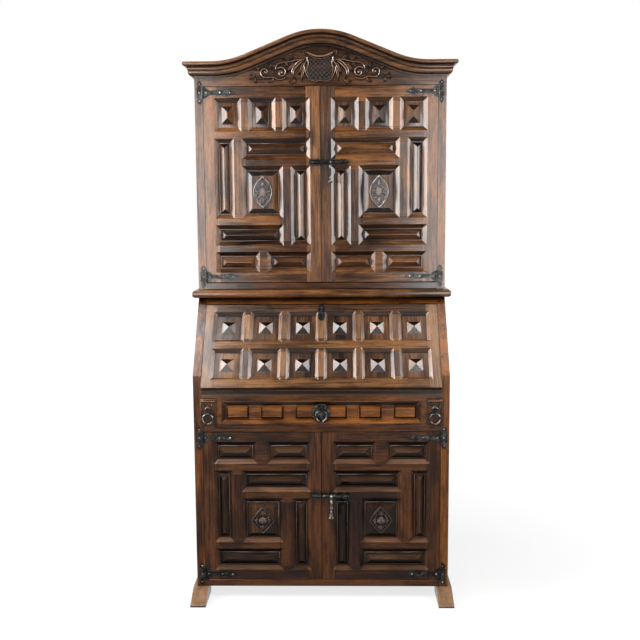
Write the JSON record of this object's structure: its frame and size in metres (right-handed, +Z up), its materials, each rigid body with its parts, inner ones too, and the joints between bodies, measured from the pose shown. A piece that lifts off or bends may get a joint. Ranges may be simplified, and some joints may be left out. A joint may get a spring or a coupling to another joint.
{
  "type": "vargueno secretary cabinet",
  "caption": "Tall carved walnut secretary in two stages: panelled cupboards, slant-front writing desk, drawer, lopers, arched cornice, iron strap hinges.",
  "frame": {"origin": "on the floor, under the centre of the cabinet's overall width and depth", "axes": "+X to the cabinet's right as one faces it, +Y to its back (the doors face -Y), +Z up"},
  "size_m": [1.006, 0.521, 2.0849],
  "materials": {
    "walnut": "dark stained walnut, waxed and worn",
    "walnut_panels": "dark stained walnut panels, waxed",
    "inner_wood": "plain unpolished boards",
    "black_iron": "black forged iron with worn edges"
  },
  "bodies": {
    "cabinet": {"left_side": "walnut", "right_side": "walnut", "base_board": "walnut", "lower_back": "inner_wood", "dust_board": "inner_wood", "face_rails": "walnut", "drawer_guides": "inner_wood", "writing_bed": "walnut", "desk_top": "walnut", "left_foot": "walnut", "right_foot": "walnut", "shelves": "inner_wood", "upper_left_side": "walnut", "upper_right_side": "walnut", "upper_bottom": "walnut", "upper_top": "inner_wood", "upper_back": "inner_wood", "frieze": "walnut", "cornice": "walnut", "hinge_leaves": "black_iron", "lid_hinge_leaves": "black_iron", "gallery_case": "inner_wood"},
    "upper_left_door": {"upper_left_door_frame": "walnut", "upper_left_door_panels": "walnut_panels", "upper_left_straps": "black_iron", "upper_bolt_keeper": "black_iron"},
    "upper_right_door": {"upper_right_door_frame": "walnut", "upper_right_door_panels": "walnut_panels", "upper_right_straps": "black_iron", "upper_bolt_staples": "black_iron"},
    "upper_bolt": {"upper_bolt": "black_iron"},
    "upper_bolt_handle": {"upper_bolt_drop": "black_iron"},
    "lower_left_door": {"lower_left_door_frame": "walnut", "lower_left_door_panels": "walnut_panels", "lower_left_straps": "black_iron", "lower_bolt_keeper": "black_iron"},
    "lower_right_door": {"lower_right_door_frame": "walnut", "lower_right_door_panels": "walnut_panels", "lower_right_straps": "black_iron", "lower_bolt_staples": "black_iron"},
    "lower_bolt": {"lower_bolt": "black_iron"},
    "lower_bolt_handle": {"lower_bolt_drop": "black_iron"},
    "lid": {"lid_frame": "walnut", "lid_panels": "walnut_panels", "lid_writing_board": "walnut", "lid_escutcheon": "black_iron", "lid_hinge_flaps": "black_iron"},
    "drawer": {"drawer_front": "walnut", "drawer_box": "inner_wood", "drawer_plate": "black_iron"},
    "drawer_pull": {"drawer_ring": "black_iron"},
    "left_loper": {"left_loper": "walnut", "left_loper_eye": "black_iron"},
    "left_loper_pull": {"left_loper_ring": "black_iron"},
    "right_loper": {"right_loper": "walnut", "right_loper_eye": "black_iron"},
    "right_loper_pull": {"right_loper_ring": "black_iron"},
    "left_desk_drawer": {"gallery_drawer_1": "walnut"},
    "middle_desk_drawer": {"gallery_drawer_2": "walnut"},
    "right_desk_drawer": {"gallery_drawer_3": "walnut"}
  },
  "joints": [
    {"name": "upper_left_door_hinge", "type": "hinge", "parent": "cabinet", "child": "upper_left_door", "pos_m": [-0.4345, 0.0156, 1.162], "axis": [0, 0, -1], "range_deg": [0, 110]},
    {"name": "upper_right_door_hinge", "type": "hinge", "parent": "cabinet", "child": "upper_right_door", "pos_m": [0.4345, 0.0156, 1.162], "axis": [0, 0, 1], "range_deg": [0, 110]},
    {"name": "upper_bolt_slide", "type": "slide", "parent": "upper_right_door", "child": "upper_bolt", "axis": [-1, 0, 0], "range_m": [0, 0.015]},
    {"name": "upper_bolt_handle_swing", "type": "hinge", "parent": "upper_bolt", "child": "upper_bolt_handle", "pos_m": [0.035, 0.0115, 1.61], "axis": [-1, 0, 0], "range_deg": [0, 90]},
    {"name": "lower_left_door_hinge", "type": "hinge", "parent": "cabinet", "child": "lower_left_door", "pos_m": [-0.4345, -0.1744, 0.07], "axis": [0, 0, -1], "range_deg": [0, 110]},
    {"name": "lower_right_door_hinge", "type": "hinge", "parent": "cabinet", "child": "lower_right_door", "pos_m": [0.4345, -0.1744, 0.07], "axis": [0, 0, 1], "range_deg": [0, 110]},
    {"name": "lower_bolt_slide", "type": "slide", "parent": "lower_right_door", "child": "lower_bolt", "axis": [-1, 0, 0], "range_m": [0, 0.015]},
    {"name": "lower_bolt_handle_swing", "type": "hinge", "parent": "lower_bolt", "child": "lower_bolt_handle", "pos_m": [0.035, -0.1785, 0.394], "axis": [-1, 0, 0], "range_deg": [0, 90]},
    {"name": "lid_hinge", "type": "hinge", "parent": "cabinet", "child": "lid", "pos_m": [0, -0.171, 0.784], "axis": [1, 0, 0], "range_deg": [0, 125.23]},
    {"name": "drawer_slide", "type": "slide", "parent": "cabinet", "child": "drawer", "axis": [0, -1, 0], "range_m": [0, 0.28]},
    {"name": "drawer_ring_swing", "type": "hinge", "parent": "drawer", "child": "drawer_pull", "pos_m": [0, -0.18, 0.7115], "axis": [-1, 0, 0], "range_deg": [0, 90]},
    {"name": "left_loper_slide", "type": "slide", "parent": "cabinet", "child": "left_loper", "axis": [0, -1, 0], "range_m": [0, 0.25]},
    {"name": "left_loper_ring_swing", "type": "hinge", "parent": "left_loper", "child": "left_loper_pull", "pos_m": [-0.411, -0.1873, 0.7015], "axis": [-1, 0, 0], "range_deg": [0, 90]},
    {"name": "right_loper_slide", "type": "slide", "parent": "cabinet", "child": "right_loper", "axis": [0, -1, 0], "range_m": [0, 0.25]},
    {"name": "right_loper_ring_swing", "type": "hinge", "parent": "right_loper", "child": "right_loper_pull", "pos_m": [0.411, -0.1873, 0.7015], "axis": [-1, 0, 0], "range_deg": [0, 90]},
    {"name": "left_desk_drawer_slide", "type": "slide", "parent": "cabinet", "child": "left_desk_drawer", "axis": [0, -1, 0], "range_m": [0, 0.14]},
    {"name": "middle_desk_drawer_slide", "type": "slide", "parent": "cabinet", "child": "middle_desk_drawer", "axis": [0, -1, 0], "range_m": [0, 0.14]},
    {"name": "right_desk_drawer_slide", "type": "slide", "parent": "cabinet", "child": "right_desk_drawer", "axis": [0, -1, 0], "range_m": [0, 0.14]}
  ]
}
